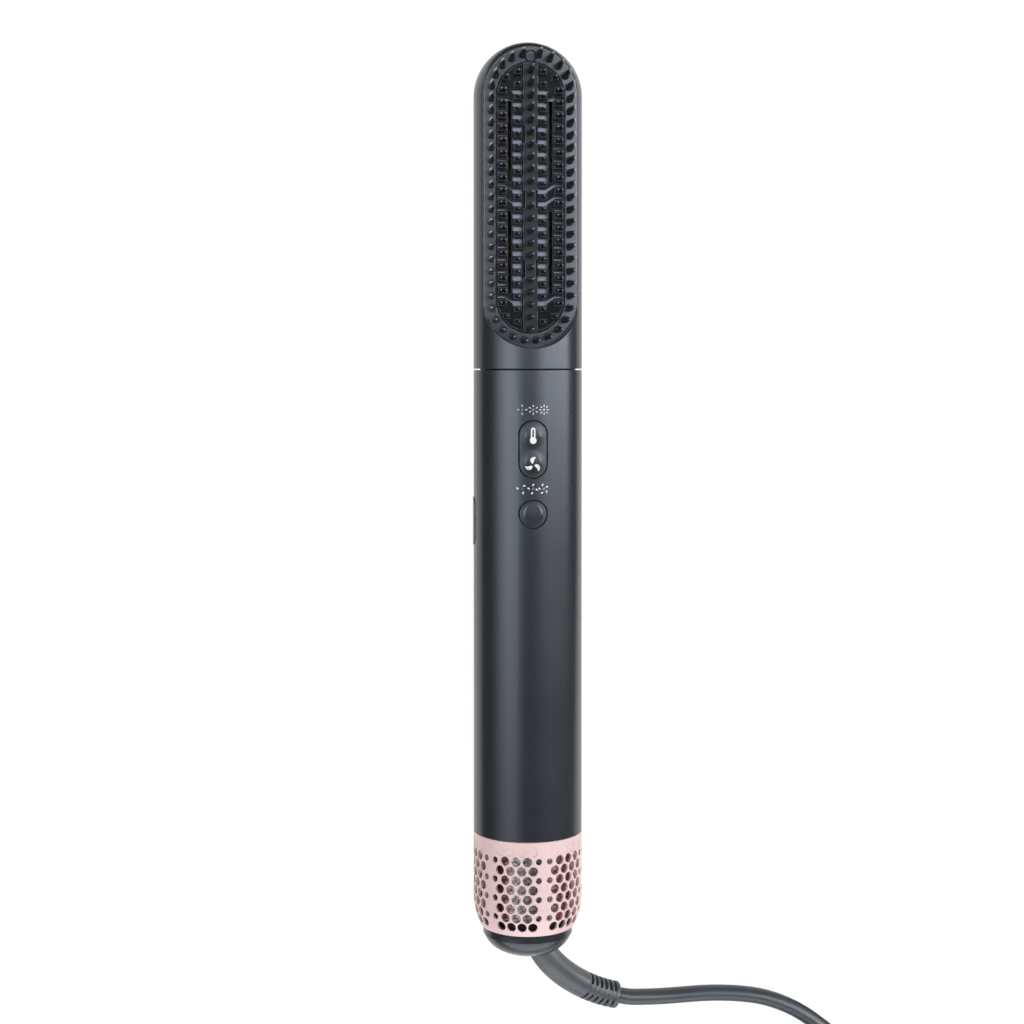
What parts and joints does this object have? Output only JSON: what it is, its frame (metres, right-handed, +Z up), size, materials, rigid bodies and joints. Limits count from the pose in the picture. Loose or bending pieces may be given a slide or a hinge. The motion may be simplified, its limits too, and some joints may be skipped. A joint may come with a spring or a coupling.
{
  "type": "hot air styler",
  "caption": "Slim round hot air styler lying on its back: pull-off brush head, rocker and power keys, perforated intake sleeve, fan and heater inside, mains lead with plug.",
  "frame": {"origin": "on the table, under the middle of the styler's length and on its centre line, without the lead", "axes": "+Y along the styler from tail to brush tip, +Z up from the table towards brush and keys, +X to the right seen from above"},
  "size_m": [0.1741, 0.4967, 0.0426],
  "materials": {
    "casing": "satin dark slate soft-touch coat",
    "casing_dark": "satin dark slate moulding",
    "bristle": "smooth nylon",
    "comb": "half-gloss black heat-proof plastic",
    "plate": "glossy coated metal",
    "key": "smooth satin",
    "dome": "smooth satin",
    "rose_gold": "pearly rose paint",
    "mesh": "fine woven wire",
    "steel": "plain",
    "seal": "silicone",
    "mica": "heat-proof board",
    "wire": "resistance wire",
    "frame_plastic": "glass-filled nylon",
    "clear": "clear moulded",
    "lamp": "lens",
    "board": "solder mask",
    "switch": "moulded",
    "capacitor": "sleeved",
    "soft_rubber": "soft",
    "alloy": "die cast",
    "copper": "enamelled winding",
    "magnet": "nickel plated",
    "impeller": "moulded",
    "cord": "smooth sheath",
    "boot": "smooth moulded rubber",
    "tie": "band",
    "pins": "nickel plated"
  },
  "bodies": {
    "handle": {"handle_shell": "casing", "mouth_ring": "casing_dark", "outlet_grille": "steel", "rocker_pin": "steel", "key_carrier": "frame_plastic", "light_guide": "clear", "indicator_lamps": "lamp", "control_board": "board", "tact_switches": "switch", "side_board": "board", "inner_chassis": "frame_plastic", "air_duct": "mica", "heater_frame": "mica", "heater_wire": "wire", "thermal_fuse": "steel", "driver_board": "board", "filter_capacitor": "capacitor", "motor_mount": "soft_rubber", "motor_housing": "alloy", "motor_stator": "copper", "motor_bearings": "steel", "filter_mesh": "mesh", "intake_cage": "casing_dark", "end_dome": "dome", "cord_clamp": "frame_plastic", "inner_lead": "cord", "strain_relief": "boot", "power_lead": "cord", "lead_coil": "cord", "lead_tie": "tie", "plug_body": "boot", "plug_pins": "pins"},
    "head": {"head_shell": "casing", "bristle_rim": "casing_dark", "rim_bristles": "bristle", "comb_insert": "comb", "comb_nibs": "comb", "centre_ridge": "casing_dark", "ridge_bristles": "bristle", "heat_plate": "plate", "tip_cover": "casing_dark", "tip_screw": "steel", "ridge_screws": "steel", "head_liner": "mica", "head_spigot": "casing_dark", "head_seal": "seal"},
    "rocker": {"rocker_key": "key"},
    "power": {"power_key": "key"},
    "side": {"side_key": "key"},
    "rotor": {"rotor_shaft": "steel", "rotor_magnet": "magnet", "impeller": "impeller"},
    "sleeve": {"intake_sleeve": "rose_gold"}
  },
  "joints": [
    {"name": "head_pull", "type": "slide", "parent": "handle", "child": "head", "axis": [0, 1, 0], "range_m": [0, 0.012]},
    {"name": "rocker_tilt", "type": "hinge", "parent": "handle", "child": "rocker", "pos_m": [0, 0.01945, 0.0353], "axis": [1, 0, 0], "range_deg": [-2.5, 2.5], "stiffness_Nm_per_rad": 0.3},
    {"name": "power_press", "type": "slide", "parent": "handle", "child": "power", "axis": [0, 0, -1], "range_m": [0, 0.0004], "stiffness_N_per_m": 1500},
    {"name": "side_press", "type": "slide", "parent": "handle", "child": "side", "axis": [1, 0, 0], "range_m": [0, 0.0004], "stiffness_N_per_m": 1500},
    {"name": "rotor_spin", "type": "hinge", "parent": "handle", "child": "rotor", "pos_m": [0, -0.09, 0.02], "axis": [0, 1, 0], "continuous": true},
    {"name": "sleeve_twist", "type": "hinge", "parent": "handle", "child": "sleeve", "pos_m": [0, -0.14, 0.02], "axis": [0, 1, 0], "range_deg": [0, 25]}
  ]
}
